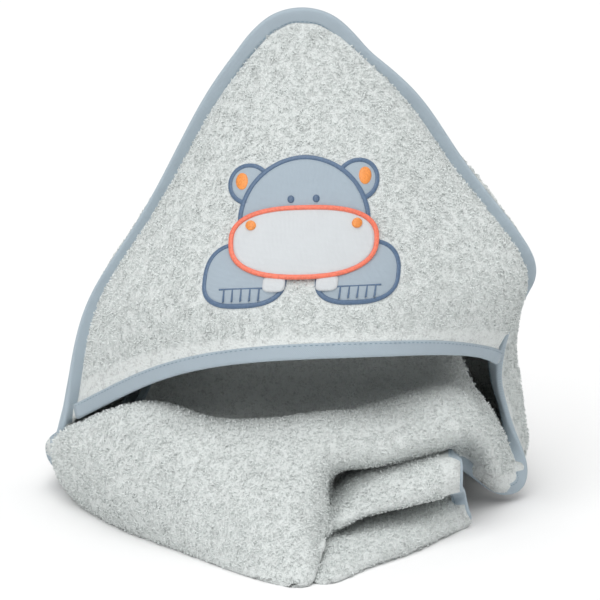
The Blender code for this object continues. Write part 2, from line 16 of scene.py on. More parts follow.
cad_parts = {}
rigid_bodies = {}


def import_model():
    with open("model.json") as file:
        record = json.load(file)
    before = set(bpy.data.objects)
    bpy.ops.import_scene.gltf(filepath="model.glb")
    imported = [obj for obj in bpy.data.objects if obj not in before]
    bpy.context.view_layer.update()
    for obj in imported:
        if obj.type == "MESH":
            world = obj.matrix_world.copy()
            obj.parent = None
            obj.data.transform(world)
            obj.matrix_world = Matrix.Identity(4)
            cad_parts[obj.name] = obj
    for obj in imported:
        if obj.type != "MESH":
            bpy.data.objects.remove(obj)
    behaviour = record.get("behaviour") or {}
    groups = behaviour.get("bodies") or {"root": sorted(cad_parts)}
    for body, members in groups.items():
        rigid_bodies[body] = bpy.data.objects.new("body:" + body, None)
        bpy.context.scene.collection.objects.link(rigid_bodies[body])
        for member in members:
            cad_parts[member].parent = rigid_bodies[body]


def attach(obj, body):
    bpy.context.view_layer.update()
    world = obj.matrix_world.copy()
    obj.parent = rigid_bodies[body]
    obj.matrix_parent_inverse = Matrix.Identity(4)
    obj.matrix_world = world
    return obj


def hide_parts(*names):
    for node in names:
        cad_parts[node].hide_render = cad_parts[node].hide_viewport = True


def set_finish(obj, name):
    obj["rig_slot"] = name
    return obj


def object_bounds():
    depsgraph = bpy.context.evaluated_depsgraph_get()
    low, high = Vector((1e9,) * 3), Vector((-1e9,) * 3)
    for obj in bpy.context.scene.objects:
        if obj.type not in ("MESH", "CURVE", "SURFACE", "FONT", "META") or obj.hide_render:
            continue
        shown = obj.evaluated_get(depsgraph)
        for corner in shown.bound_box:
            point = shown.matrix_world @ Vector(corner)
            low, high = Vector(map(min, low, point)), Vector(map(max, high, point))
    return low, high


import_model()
CAD_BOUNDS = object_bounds()

# The bundle's overall size, in metres.
CAD_LOW, CAD_HIGH = (np.array(corner) for corner in CAD_BOUNDS)
WIDTH, DEPTH, HEIGHT = 0.356, 0.354, 0.361
DRAWN_MIDDLE = np.array((-0.01015, 0.01007, 0.0003))     # what the drawing has over the origin
AWAY = np.array(((CAD_LOW[0] + CAD_HIGH[0]) / 2, (CAD_LOW[1] + CAD_HIGH[1]) / 2, CAD_LOW[2]))
AWAY = AWAY - DRAWN_MIDDLE

# The cloth, in metres.
TERRY = 0.003              # the towelling's thickness
TAPE = 0.0006              # the bias tape's thickness
TAPE_WIDTH = 0.0108
TAPE_ROUND = 0.0016        # how far the tape's fold is rounded
HEM_OVER = 0.002           # how far the hem tape stands out past the hood's edge
HEM_SHORT = 3              # columns that the hem tape stops short of the edge tape

# The towel's fold lines, in millimetres, from the left edge to the right edge.
TOWEL_FOLDS = (
    ("crown", ((-71, 53, 290), (-58, 64, 293), (-42, 73, 299), (-22, 79, 304), (0, 81, 307),
               (22, 79, 307), (42, 73, 305), (62, 62, 302), (82, 50, 296))),
    ("nape", ((-106, 55, 222), (-97, 82, 226), (-75, 103, 234), (-40, 117, 241), (0, 122, 244),
              (40, 117, 245), (76, 104, 246), (104, 80, 247), (119, 49, 242))),
    ("shoulder", ((-137, 55, 172), (-131, 88, 171), (-103, 120, 175), (-56, 139, 180), (0, 145, 183),
                  (56, 139, 185), (108, 121, 186), (148, 86, 187), (163, 43, 183))),
    ("back", ((-160, 55, 122), (-155, 96, 117), (-122, 134, 117), (-64, 154, 120), (0, 160, 122),
              (64, 154, 123), (120, 136, 125), (154, 106, 130), (158, 66, 142))),
    ("hem_level", ((-172, 51, 54), (-167, 100, 54), (-132, 143, 54), (-68, 163, 56), (0, 168, 57),
                   (68, 163, 58), (126, 146, 60), (156, 112, 68), (142, 70, 93))),
    ("floor_bend", ((-178, 68, 26), (-172, 114, 8), (-135, 154, 2), (-70, 173, 1), (0, 178, 1),
                    (70, 173, 1), (128, 154, 2), (162, 120, 14), (145, 66, 66))),
    ("under", ((-158, 96, 9), (-140, 110, 3), (-102, 124, 1), (-54, 134, 1), (0, 136, 1),
               (54, 132, 1), (100, 120, 5), (138, 98, 14), (150, 61, 50))),
    ("inner_back", ((-136, 108, 34), (-124, 110, 46), (-96, 118, 62), (-50, 126, 70), (0, 128, 72),
                    (50, 124, 72), (90, 112, 68), (124, 88, 54), (155, 57, 42))),
    ("inner_rise", ((-122, 104, 78), (-112, 106, 90), (-86, 110, 130), (-46, 114, 152), (0, 114, 156),
                    (46, 110, 154), (82, 98, 138), (112, 78, 90), (158, 54, 35))),
    ("inner_top", ((-104, 90, 112), (-97, 90, 128), (-78, 88, 184), (-44, 84, 230), (0, 82, 244),
                   (44, 80, 236), (78, 76, 196), (108, 66, 110), (161, 52, 28))),
    ("inner_fall", ((-112, 74, 78), (-104, 72, 90), (-82, 68, 122), (-46, 62, 146), (0, 60, 154),
                    (42, 58, 152), (74, 55, 138), (106, 58, 100), (162, 49, 21))),
    ("cave_hump", ((-126, 72, 54), (-118, 68, 64), (-90, 62, 84), (-52, 56, 94), (0, 52, 98),
                   (36, 46, 104), (70, 46, 108), (108, 48, 94), (161, 46, 14))),
    ("trough", ((-138, 68, 46), (-132, 56, 54), (-98, 30, 60), (-52, 16, 56), (-8, 8, 60),
                (24, 6, 70), (62, 12, 86), (110, 26, 90), (157, 42, 8))),
    ("lip", ((-147, 72, 38), (-164, 46, 54), (-114, -2, 82), (-60, -34, 82), (-10, -50, 86),
             (22, -50, 90), (66, -32, 92), (116, -2, 88), (148, 36, 6))),
    ("roll_front", ((-150, 76, 24), (-178, 48, 33), (-130, -34, 54), (-70, -82, 56), (-12, -108, 54),
                    (18, -84, 66), (62, -62, 72), (120, -24, 74), (136, 30, 10))),
    ("front_foot", ((-142, 74, 9), (-162, 50, 4), (-128, -24, 1), (-72, -94, 1), (0, -160, 1),
                    (16, -68, 46), (58, -46, 56), (112, -12, 60), (122, 24, 22))),
    ("gap", ((-132, 68, 13), (-140, 46, 9), (-112, -10, 8), (-62, -68, 8), (6, -128, 14),
             (22, -40, 36), (56, -14, 44), (102, 6, 46), (110, 16, 34))),
    ("flap_top", ((-122, 60, 17), (-124, 42, 14), (-98, -4, 13), (-52, -54, 13), (10, -98, 18),
                  (32, -58, 38), (62, -60, 50), (98, -42, 54), (112, -36, 52))),
    ("flap_front", ((-112, 54, 21), (-112, 38, 19), (-86, 0, 18), (-44, -44, 18), (14, -88, 22),
                    (36, -90, 30), (64, -84, 34), (98, -64, 38), (112, -54, 40))),
    ("flap_tuck", ((-102, 52, 24), (-100, 36, 23), (-74, 4, 23), (-36, -34, 22), (16, -66, 20),
                   (38, -62, 24), (66, -44, 26), (100, -30, 28), (114, -26, 30))),
    ("flap_back", ((-90, 46, 29), (-88, 32, 28), (-64, 6, 27), (-30, -28, 24), (16, -62, 16),
                   (36, -44, 16), (66, -30, 18), (104, -20, 20), (116, -16, 20))),
    ("pocket", ((-80, 40, 32), (-76, 28, 31), (-56, 6, 29), (-26, -26, 24), (12, -112, 11),
                (38, -106, 13), (70, -80, 15), (104, -42, 15), (118, -28, 13))),
    ("right_foot", ((-74, 32, 24), (-68, 20, 22), (-50, -2, 18), (-24, -40, 11), (6, -148, 1),
                    (38, -124, 1), (72, -84, 1), (102, -36, 1), (118, -16, 4))),
    ("under_front", ((-78, 22, 11), (-72, 14, 8), (-52, -8, 4), (-24, -40, 1), (2, -96, 1),
                     (28, -78, 1), (58, -50, 1), (84, -10, 1), (94, 4, 4))),
    ("coil_back", ((-74, 58, 4), (-66, 58, 1), (-46, 52, 1), (-20, 30, 1), (4, 0, 1),
                   (28, 6, 1), (52, 28, 1), (74, 48, 1), (82, 56, 4))),
    ("coil_rise", ((-66, 88, 26), (-58, 90, 28), (-40, 92, 28), (-16, 88, 28), (8, 74, 28),
                   (30, 66, 28), (54, 70, 28), (72, 78, 28), (80, 82, 28))),
    ("coil_top", ((-58, 58, 46), (-50, 58, 48), (-36, 56, 48), (-14, 50, 48), (8, 40, 48),
                  (28, 36, 50), (50, 40, 50), (66, 46, 50), (74, 50, 50))),
    ("coil_front", ((-44, 34, 32), (-38, 32, 33), (-26, 28, 33), (-8, 16, 33), (10, 4, 32),
                    (26, 6, 33), (44, 14, 34), (58, 24, 34), (66, 30, 34))),
    ("tail_seam", ((-34, 44, 16), (-28, 42, 16), (-18, 38, 16), (-4, 28, 16), (10, 20, 16),
                   (22, 22, 16), (36, 28, 16), (48, 36, 16), (54, 40, 16))),
    ("tail", ((-28, 54, 14), (-23, 52, 14), (-15, 49, 14), (-3, 40, 14), (10, 32, 14),
              (20, 34, 14), (32, 39, 14), (42, 46, 14), (47, 50, 14))),
)

# The hood panel's fold lines, at the same heights on the seams as the towel's first five.
PANEL_FOLDS = (
    ("crown", ((-71, 53, 290), (-57, 45, 296), (-40, 35, 300), (-20, 28, 302), (0, 26, 303),
               (22, 27, 304), (43, 32, 304), (65, 42, 302), (82, 50, 296))),
    ("nape", ((-106, 55, 222), (-89, 33, 234), (-65, 10, 243), (-34, -6, 249), (0, -12, 252),
              (36, -8, 253), (71, 8, 253), (101, 31, 250), (119, 49, 242))),
    ("shoulder", ((-137, 55, 172), (-119, 24, 186), (-88, -9, 198), (-46, -32, 207), (0, -40, 210),
                  (48, -33, 210), (96, -12, 207), (140, 15, 199), (163, 43, 183))),
    ("cheek", ((-160, 55, 122), (-141, 20, 138), (-108, -19, 156), (-58, -51, 170), (-4, -63, 175),
               (50, -54, 175), (102, -26, 171), (150, 12, 160), (158, 66, 142))),
    ("hem", ((-172, 51, 54), (-138, 13, 82), (-103, -25, 109), (-61, -57, 129), (-9, -78, 140),
             (47, -70, 140), (92, -36, 132), (125, 11, 117), (142, 70, 93))),
)

# The hood's rounded corner, above the first fold line, in millimetres.
CORNER_TOP = 359.0
CORNER_RADIUS = 46.0
CORNER_TURN = 56.0         # degrees that the corner turns through on each side of its top
CORNER_Y = 50.0
DRAWN = (356.0, 354.0, 361.0)      # the width, depth and height that the fold lines are drawn at
SCALE = np.array((WIDTH / DRAWN[0], DEPTH / DRAWN[1], HEIGHT / DRAWN[2]))


# How finely the sheets are divided.
ROWS_PER_FOLD = 10
COLUMNS = 100
STEEPEST = 0.62
SEAM_BLEND = 9             # columns over which a sheet eases out of the tape
EVEN_TURNS = 90            # passes that even out the way that the tape leans along its run
TURN_ROWS = 1.5            # fold lines from the corner down to where the seams point at the heart

# The motif, in metres, drawn flat about the middle of the muzzle, +X right and +Y up the hood.
MOTIF_WIDTH = 0.138
MOTIF_DOWN = 0.176         # from the hood's corner down to the muzzle's middle, along the panel
STITCH_WIDTH = 0.0034

# Each oval is (middle x, middle y, half width, half height up, half height down, squareness),
# in parts of the motif's width.
HEAD = (0.0, 0.11, 0.31, 0.33, 0.20, 1.9)
MUZZLE = (0.0, 0.0, 0.35, 0.165, 0.18, 2.5)
EAR = (0.275, 0.32, 0.09, 0.09, 0.09, 2.0)
EAR_FILL = (0.31, 0.335, 0.034, 0.046, 0.046, 2.0)
EYE = (0.062, 0.225, 0.017, 0.02, 0.02, 2.0)
NOSTRIL = (0.26, 0.085, 0.026, 0.026, 0.026, 2.0)
TOOTH = (0.13, -0.225, 0.045, 0.03, 0.03, 3.5)
FOOT = (0.29, -0.20, 0.195, 0.185, 0.115, 2.6)

# Colours, as linear light.
TERRY_COLOR = (0.73, 0.765, 0.755)
TAPE_COLOR = (0.42, 0.50, 0.56)
STITCH_COLOR = (0.20, 0.30, 0.38)
GREY_COLOR = (0.40, 0.475, 0.54)
WHITE_COLOR = (0.66, 0.69, 0.71)
BLUE_COLOR = (0.10, 0.165, 0.27)
CORAL_COLOR = (0.88, 0.20, 0.12)
ORANGE_COLOR = (0.95, 0.32, 0.07)

# The tape's running stitches, in metres.
STITCH_PITCH = 0.0038
STITCH_LONG = 0.0026
STITCH_INSET = 0.0016      # from the tape's rim
STITCH_HALF_WIDE = 0.00032
STITCH_HALF_TALL = 0.00035

# Satin stitch, in metres.
THREAD_PITCH = 0.0008
THREAD_RAISED = 0.00016    # how far each thread stands over the one beside it
THREAD_SLANT = 0.00025     # how far a thread leans along the line that it crosses
THREAD_RAGGED = 0.09       # how much a thread's length varies
SATIN_TALL = 0.0009
FILL_TALL = 0.0010
TOE_LINES = 5
TOE_PITCH = 0.0062
TOE_TALL = 0.0075
TOE_WIDE = 0.0012
TOE_RIDGE = 0.0005

# The motif's layers: how far each stands off the towelling, and how far a patch is padded.
LOW_LEVEL = 0.0006
HEAD_LEVEL = 0.0014
TOE_LEVEL = 0.0021
EYE_LEVEL = 0.0026
TOOTH_LEVEL = 0.0030
MUZZLE_LEVEL = 0.0032
MUZZLE_EDGE_LEVEL = 0.0036
NOSTRIL_LEVEL = 0.0046
FOOT_PUFF = 0.0022
EAR_PUFF = 0.0010
HEAD_PUFF = 0.0010
MUZZLE_PUFF = 0.0016
TOOTH_PUFF = 0.0006

# The tape's path, the cloth's unevenness and its pile, in metres.
TAPE_STEP = 0.003
PATH_PASSES = 10           # passes that even out the tape's path
RUFFLE_WAVES = 14
RUFFLE_LONG = (0.035, 0.09)        # the shortest and longest ruffle
RUFFLE_TALL = 0.0016
LOOP_SPACING = 0.0019
LOOP_WIDE = 0.0009
LOOP_THICK = 0.00028
LOOP_TALL = 0.0013
LOOP_LEAN = 0.45           # how far a loop leans at random, as a share of its height
LOOP_ROOM = 0.0024         # from the motif
MOTIF_SLOTS = ("patch_grey", "patch_white", "thread_blue", "thread_coral", "thread_orange")
LOOPS_PER_PIECE = 24000
PILE_TONES = (0.92, 1.0, 1.08)
FLOOR_LIFT = 0.0003
UNDER_SPACING = 1.1        # the spacing of the loops below the flap, against the others

# Where the pile starts and stops on the towel, in fold lines from the corner.
BACK_END = 6.2
SEEN_FROM = 7.5
UNDER_FROM = 17
SEEN_TO = 24

# The studio.
WORLD_LIGHT = 0.45
SUNS = (                   # name, where it shines from, strength, width in degrees
    ("key", (-0.35, -0.9, 1.25), 1.55, 55),
    ("top", (0.25, 0.15, 1.6), 0.95, 70),
)
CAMERA_LENS = 342.5
CAMERA_AWAY = 4.0
CAMERA_RISE = 15.0
CAMERA_AIM = (-0.0014, 0.0, 0.160)


# ---------------------------------------------------------------- the smooth surface

def spline_weights(count, places):
    """Rows of weights that carry evenly spaced points to a smooth curve through them."""
    knots = np.zeros((count, count))
    for i in range(count):
        if i in (0, count - 1):
            knots[i, i] = 1.0
        else:
            knots[i, i - 1:i + 2] = (1 / 6, 4 / 6, 1 / 6)
    padded = np.zeros((count + 2, count))
    padded[1:-1] = np.linalg.inv(knots)
    padded[0] = 2 * padded[1] - padded[2]
    padded[-1] = 2 * padded[-2] - padded[-3]
    places = np.clip(np.asarray(places, dtype=float), 0, count - 1)
    first = np.minimum(places.astype(int), count - 2)
    f = places - first
    basis = ((1 - f) ** 3 / 6, (3 * f ** 3 - 6 * f ** 2 + 4) / 6,
             (-3 * f ** 3 + 3 * f ** 2 + 3 * f + 1) / 6, f ** 3 / 6)
    weights = np.zeros((len(places), count))
    for k, share in enumerate(basis):
        weights += share[:, None] * padded[first + k]
    return weights


def corner_line(inset, columns):
    """A fold line along the rounded corner, or inset from it with its ends on the sheet's edges."""
    line = []
    for turn in np.linspace(-1, 1, columns):
        angle = math.radians(CORNER_TURN) * turn
        outward = np.array((math.sin(angle), 0, math.cos(angle)))
        down_edge = np.array((math.copysign(math.cos(angle), turn), 0, -abs(math.sin(angle))))
        share = abs(turn) ** 3
        middle = np.array((0, CORNER_Y, CORNER_TOP - CORNER_RADIUS))
        line.append(middle + CORNER_RADIUS * outward
                    + inset * (share * down_edge - (1 - share) * outward))
    return line


def fold_net(folds):
    """The sheet's control points: the rounded corner, its seam and then the fold lines."""
    columns = len(folds[0][1])
    lines = [corner_line(0, columns), corner_line(TAPE_WIDTH * 1000, columns)]
    lines += [points for _, points in folds]
    return np.array(lines, dtype=float) * SCALE


def on_net(net, along, across):
    """Points of the smooth surface at paired places along and across its fold lines."""
    rows = spline_weights(net.shape[0], along)
    columns = spline_weights(net.shape[1], across)
    points = np.einsum("nj,njk->nk", columns, np.einsum("ni,ijk->njk", rows, net))
    points[:, 2] = np.maximum(points[:, 2], TERRY / 2 + FLOOR_LIFT)
    return points


def line_places(net, along, left, right):
    """Places across a fold line: the edges, the seams at two distances from them, and between
    the seams even steps."""
    dense = np.linspace(0, net.shape[1] - 1, 200)
    points = on_net(net, np.full(dense.shape, along), dense)
    run = np.concatenate(([0], np.cumsum(np.linalg.norm(np.diff(points, axis=0), axis=1))))
    inner = np.linspace(left, run[-1] - right, COLUMNS - 1)
    return np.interp(np.concatenate(([0], inner, [run[-1]])), run, dense)


def grid_through(net, alongs, left, right):
    acrosses = [line_places(net, *row) for row in zip(alongs, left, right)]
    return np.array([on_net(net, np.full(across.shape, along), across)
                     for along, across in zip(alongs, acrosses)])


def sheet_grid(net, alongs):
    """The sheet as a grid of points (rows, columns, 3), its seams a tape's width inside its edges."""
    even = np.full(len(alongs), TAPE_WIDTH)
    rough = grid_through(net, alongs, even, even)
    left = tape_reach(rough[:, 0], rough[:, 1] - rough[:, 0])
    right = tape_reach(rough[:, -1], rough[:, -2] - rough[:, -1])
    return grid_through(net, alongs, left, right)


def tape_reach(edge, way):
    """How far to go each way from the edge to be a tape's width away from it."""
    slant = np.linalg.norm(np.cross(unit(np.gradient(edge, axis=0)), unit(way)), axis=1)
    return TAPE_WIDTH / np.maximum(slant, STEEPEST)


def unit(vectors):
    return vectors / np.maximum(np.linalg.norm(vectors, axis=-1, keepdims=True), 1e-12)


def normals_of(grid):
    along = np.gradient(grid, axis=0)
    across = np.gradient(grid, axis=1)
    return unit(np.cross(along, across))


# ---------------------------------------------------------------- meshes

def mesh_object(name, points, faces, smooth=True):
    mesh = bpy.data.meshes.new(name)
    mesh.vertices.add(len(points))
    mesh.vertices.foreach_set("co", np.asarray(points, dtype=np.float32).ravel())
    faces = np.asarray(faces, dtype=np.int32)
    mesh.loops.add(faces.size)
    mesh.loops.foreach_set("vertex_index", faces.ravel())
    mesh.polygons.add(len(faces))
    mesh.polygons.foreach_set("loop_start", np.arange(0, faces.size, faces.shape[1], dtype=np.int32))
    mesh.polygons.foreach_set("use_smooth", np.full(len(faces), smooth))
    mesh.update(calc_edges=True)
    mesh.validate()
    ob = bpy.data.objects.new(name, mesh)
    bpy.context.scene.collection.objects.link(ob)
    return ob


def grid_faces(rows, columns, close_rows=False, close_columns=False):
    i = np.arange(rows if close_rows else rows - 1)
    j = np.arange(columns if close_columns else columns - 1)
    i, j = (axis.ravel() for axis in np.meshgrid(i, j, indexing="ij"))
    up = (i + 1) % rows
    over = (j + 1) % columns
    return np.stack((i * columns + j, i * columns + over, up * columns + over, up * columns + j), 1)


def grid_object(name, points, close_rows=False, close_columns=False, flip=False):
    rows, columns = points.shape[:2]
    faces = grid_faces(rows, columns, close_rows, close_columns)
    if flip:
        faces = faces[:, ::-1]
    return mesh_object(name, points.reshape(-1, 3), faces)


def give_uv(ob, coordinates):
    """A UV map from one coordinate pair for each vertex, in metres along the cloth."""
    layer = ob.data.uv_layers.new(name="cloth")
    corners = np.empty(len(ob.data.loops), dtype=np.int32)
    ob.data.loops.foreach_get("vertex_index", corners)
    pairs = np.asarray(coordinates, dtype=np.float32).reshape(-1, 2)[corners]
    layer.data.foreach_set("uv", pairs.ravel())


def thicken(ob, thickness, offset):
    wall = ob.modifiers.new("thickness", "SOLIDIFY")
    wall.thickness = thickness
    wall.offset = offset
    wall.use_even_offset = False
    bpy.ops.object.select_all(action="DESELECT")
    bpy.context.view_layer.objects.active = ob
    ob.select_set(True)
    bpy.ops.object.modifier_apply(modifier=wall.name)


def outward(ob):
    mesh = bmesh.new()
    mesh.from_mesh(ob.data)
    bmesh.ops.recalc_face_normals(mesh, faces=mesh.faces[:])
    mesh.to_mesh(ob.data)
    mesh.free()


def settle(ob, material, slot, replaced=()):
    """Gives a finished piece its material, body, CAD nodes and slot."""
    ob.data.materials.clear()
    ob.data.materials.append(material)
    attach(ob, "root")
    if replaced:
        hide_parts(*replaced)
    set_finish(ob, slot)
    return ob


# ---------------------------------------------------------------- materials

class Shader:
    """A node material with a Principled shader, built up by short calls."""

    def __init__(self, name, color, roughness, sheen=0.0):
        self.material = bpy.data.materials.new(name)
        self.material.use_nodes = True
        self.nodes = self.material.node_tree.nodes
        self.links = self.material.node_tree.links
        self.shader = self.nodes["Principled BSDF"]
        self.shader.inputs["Base Color"].default_value = (*color, 1)
        self.shader.inputs["Roughness"].default_value = roughness
        self.shader.inputs["Sheen Weight"].default_value = sheen
        self.shader.inputs["Specular IOR Level"].default_value = 0.2

    def add(self, kind, **inputs):
        node = self.nodes.new(kind)
        for key, value in inputs.items():
            target = key.replace("_", " ")
            if isinstance(value, bpy.types.NodeSocket):
                self.links.new(value, node.inputs[target])
            else:
                node.inputs[target].default_value = value
        return node

    def place(self, source):
        return self.add("ShaderNodeTexCoord").outputs[source]

    def noise(self, vector, scale, detail=2.0, roughness=0.5):
        return self.add("ShaderNodeTexNoise", Vector=vector, Scale=scale, Detail=detail,
                        Roughness=roughness).outputs["Fac"]

    def ramp(self, value, low, dark, high, light):
        node = self.add("ShaderNodeValToRGB", Fac=value)
        node.color_ramp.elements[0].position = low
        node.color_ramp.elements[0].color = (*dark, 1)
        node.color_ramp.elements[1].position = high
        node.color_ramp.elements[1].color = (*light, 1)
        return node.outputs["Color"]

    def wave(self, vector, scale, distortion=0.0, direction="X"):
        node = self.add("ShaderNodeTexWave", Vector=vector, Scale=scale, Distortion=distortion)
        node.bands_direction = direction
        return node.outputs["Fac"]

    def together(self, first, second, operation="ADD"):
        node = self.nodes.new("ShaderNodeMath")
        node.operation = operation
        self.links.new(first, node.inputs[0])
        self.links.new(second, node.inputs[1])
        return node.outputs[0]

    def color(self, socket):
        self.links.new(socket, self.shader.inputs["Base Color"])

    def bump(self, height, strength, distance):
        node = self.add("ShaderNodeBump", Height=height, Strength=strength, Distance=distance)
        self.links.new(node.outputs["Normal"], self.shader.inputs["Normal"])


def shade(color, factor):
    return tuple(min(value * factor, 1.0) for value in color)


def terry_material():
    look = Shader("terry", TERRY_COLOR, 1.0, 0.25)
    place = look.place("Object")
    loops = look.noise(place, 620.0, 2.0, 0.6)
    clumps = look.noise(place, 170.0, 3.0, 0.6)
    height = look.together(loops, clumps)
    look.color(look.ramp(height, 0.75, shade(TERRY_COLOR, 0.8), 1.15, shade(TERRY_COLOR, 1.06)))
    look.bump(height, 0.9, 0.0022)
    return look.material


def pile_material(name, factor):
    look = Shader(name, shade(TERRY_COLOR, factor), 1.0, 0.3)
    return look.material


def tape_material():
    look = Shader("bias_tape", TAPE_COLOR, 0.75, 0.1)
    place = look.place("UV")
    warp = look.wave(place, 520.0, 0.6, "DIAGONAL")
    turned = look.add("ShaderNodeMapping", Vector=place)
    turned.inputs["Rotation"].default_value = (0, 0, math.radians(90))
    weft = look.wave(turned.outputs["Vector"], 520.0, 0.6, "DIAGONAL")
    weave = look.together(warp, weft)
    rumple = look.noise(look.place("Object"), 90.0, 3.0, 0.55)
    look.color(look.ramp(look.together(weave, rumple), 0.6, shade(TAPE_COLOR, 0.86), 2.2,
                         shade(TAPE_COLOR, 1.07)))
    look.bump(look.together(look.together(weave, rumple), rumple), 0.5, 0.0007)
    return look.material


def cotton_material(name, color):
    look = Shader(name, color, 0.8, 0.1)
    place = look.place("UV")
    warp = look.wave(place, 360.0, 0.8, "X")
    weft = look.wave(place, 360.0, 0.8, "Y")
    weave = look.together(warp, weft)
    rumple = look.noise(look.place("Object"), 60.0, 3.0, 0.5)
    look.color(look.ramp(look.together(weave, rumple), 0.5, shade(color, 0.9), 2.3, shade(color, 1.05)))
    look.bump(look.together(weave, look.together(rumple, rumple)), 0.45, 0.0006)
    return look.material


def thread_material(name, color):
    look = Shader(name, color, 0.42)
    grain = look.noise(look.place("Object"), 900.0, 2.0, 0.5)
    look.color(look.ramp(grain, 0.35, shade(color, 0.8), 0.7, shade(color, 1.12)))
    look.shader.inputs["Specular IOR Level"].default_value = 0.5
    return look.material


# ---------------------------------------------------------------- the towel

def side_stations(columns, first_row, last_row):
    """Edge points of a sheet's grid with the seam points inside them: up the left edge from
    last_row, over the rounded corner, and down the right edge to last_row."""
    left = [((i, 0), (i, 1)) for i in range(last_row, first_row, -1)]
    top = [((0, 0), (1, 1))]
    top += [((0, j), (1, j)) for j in range(2, columns - 2)]
    top += [((0, columns - 1), (1, columns - 2))]
    right = [((i, columns - 1), (i, columns - 2)) for i in range(first_row + 1, last_row + 1)]
    return left + top + right


def square_to(vectors, run):
    """The part of each vector that is square to its run."""
    return vectors - (vectors * run).sum(axis=1)[:, None] * run


def pick(grid, places):
    return np.array([grid[place] for place in places])


def seam_lines(towel, panel, hem_row, heart_row):
    """The edge tape's lines round the towel, and both sheets eased to meet inside the tape."""
    last = len(towel) - 1
    columns = towel.shape[1]
    stations = side_stations(columns, 1, last - 2)
    stations += [((last, columns - 1), (last - 1, columns - 2))]
    stations += [((last, j), (last - 1, j)) for j in range(columns - 3, 1, -1)]
    stations += [((last, 0), (last - 1, 1))]
    outer = [place for place, _ in stations]
    inner = [place for _, place in stations]
    doubled = np.array([place[0] <= hem_row for place in outer])
    edge = pick(towel, outer)
    run = unit(np.roll(edge, -1, axis=0) - np.roll(edge, 1, axis=0))
    toward = pick(towel, inner) - edge
    for k, place in enumerate(outer):
        if doubled[k]:
            row = max(place[0], heart_row)
            toward[k] = (towel[row, columns // 2] + panel[row, columns // 2]) / 2 - edge[k]
    inward = unit(square_to(toward, run))
    for _ in range(EVEN_TURNS):
        beside = np.roll(inward, 1, axis=0) + np.roll(inward, -1, axis=0)
        inward = unit(square_to(inward + beside / 2, run))
    across = np.cross(run, inward)
    half = np.where(doubled, TERRY, TERRY / 2).astype(float)
    for _ in range(12):
        half = (np.roll(half, 1) + 2 * half + np.roll(half, -1)) / 4
    half = half[:, None] + TAPE
    for k, place in enumerate(inner):
        seam = edge[k] + (TAPE_WIDTH * 0.9) * inward[k]
        if doubled[k]:
            apart = TERRY / 2 * across[k]
            ease(towel, place, seam + apart)
            ease(panel, place, seam - apart)
        else:
            ease(towel, place, seam)
    for k, place in enumerate(outer):
        tucked = edge[k] + TAPE_ROUND * 1.4 * inward[k]
        towel[place] = tucked
        if doubled[k]:
            towel[place] = tucked + TERRY * 0.4 * across[k]
            panel[place] = tucked - TERRY * 0.4 * across[k]
    for grid, ends in ((towel, (0, last)), (panel, (0,))):
        for row in ends:
            beside = 1 if row == 0 else row - 1
            for side, way in ((0, 1), (columns - 1, -1)):
                grid[row, side + way] = (grid[row, side] + grid[row, side + 2 * way]) / 2
                after = beside + (beside - row)
                grid[beside, side] = (grid[row, side] + grid[after, side]) / 2
    return edge, inward, half


def even_path(edge, inward, half):
    """The tape's lines at even steps along a smooth closed curve through its stations."""
    gaps = np.linalg.norm(np.roll(edge, -1, axis=0) - edge, axis=1)
    run = np.concatenate(([0], np.cumsum(gaps)))
    slope = ((np.roll(edge, -1, axis=0) - np.roll(edge, 1, axis=0))
             / (gaps + np.roll(gaps, 1))[:, None])
    places = np.linspace(0, run[-1], int(run[-1] / TAPE_STEP), endpoint=False)
    first = np.searchsorted(run, places, side="right") - 1
    after = (first + 1) % len(edge)
    t = ((places - run[first]) / gaps[first])[:, None]
    gap = gaps[first][:, None]
    smooth = ((2 * t ** 3 - 3 * t ** 2 + 1) * edge[first] + (t ** 3 - 2 * t ** 2 + t) * gap * slope[first]
              + (3 * t ** 2 - 2 * t ** 3) * edge[after] + (t ** 3 - t ** 2) * gap * slope[after])
    for _ in range(PATH_PASSES):
        smooth = (np.roll(smooth, 1, axis=0) + 2 * smooth + np.roll(smooth, -1, axis=0)) / 4
    ahead = unit(np.roll(smooth, -1, axis=0) - np.roll(smooth, 1, axis=0))
    way = inward[first] * (1 - t) + inward[after] * t
    way = unit(square_to(way, ahead))
    for _ in range(PATH_PASSES * 6):
        way = unit(square_to(way + (np.roll(way, 1, axis=0) + np.roll(way, -1, axis=0)) / 2, ahead))
    tall = half[first] * (1 - t) + half[after] * t
    return smooth, way, np.cross(ahead, way), tall


def ruffle(grid, seed, height):
    """Gives a sheet the soft unevenness of thick cloth, fading out at its seams and on the floor."""
    draw = np.random.default_rng(seed)
    rows, columns = grid.shape[:2]
    normal = normals_of(grid)
    lift = np.zeros((rows, columns))
    for _ in range(RUFFLE_WAVES):
        wave = draw.normal(0, 1, 3)
        wave = wave / np.linalg.norm(wave) * 2 * math.pi / draw.uniform(*RUFFLE_LONG)
        lift += np.sin(grid @ wave + draw.uniform(0, 2 * math.pi))
    lift *= height / math.sqrt(RUFFLE_WAVES)
    side = np.minimum(np.arange(columns), np.arange(columns)[::-1]) / SEAM_BLEND
    ends = np.minimum(np.arange(rows), np.arange(rows)[::-1]) / SEAM_BLEND
    fade = np.clip(side[None, :] - 0.2, 0, 1) * np.clip(ends[:, None] - 0.2, 0, 1)
    fade = fade * np.clip((grid[..., 2] - 0.004) / 0.02, 0, 1)
    return grid + (fade * lift)[..., None] * normal


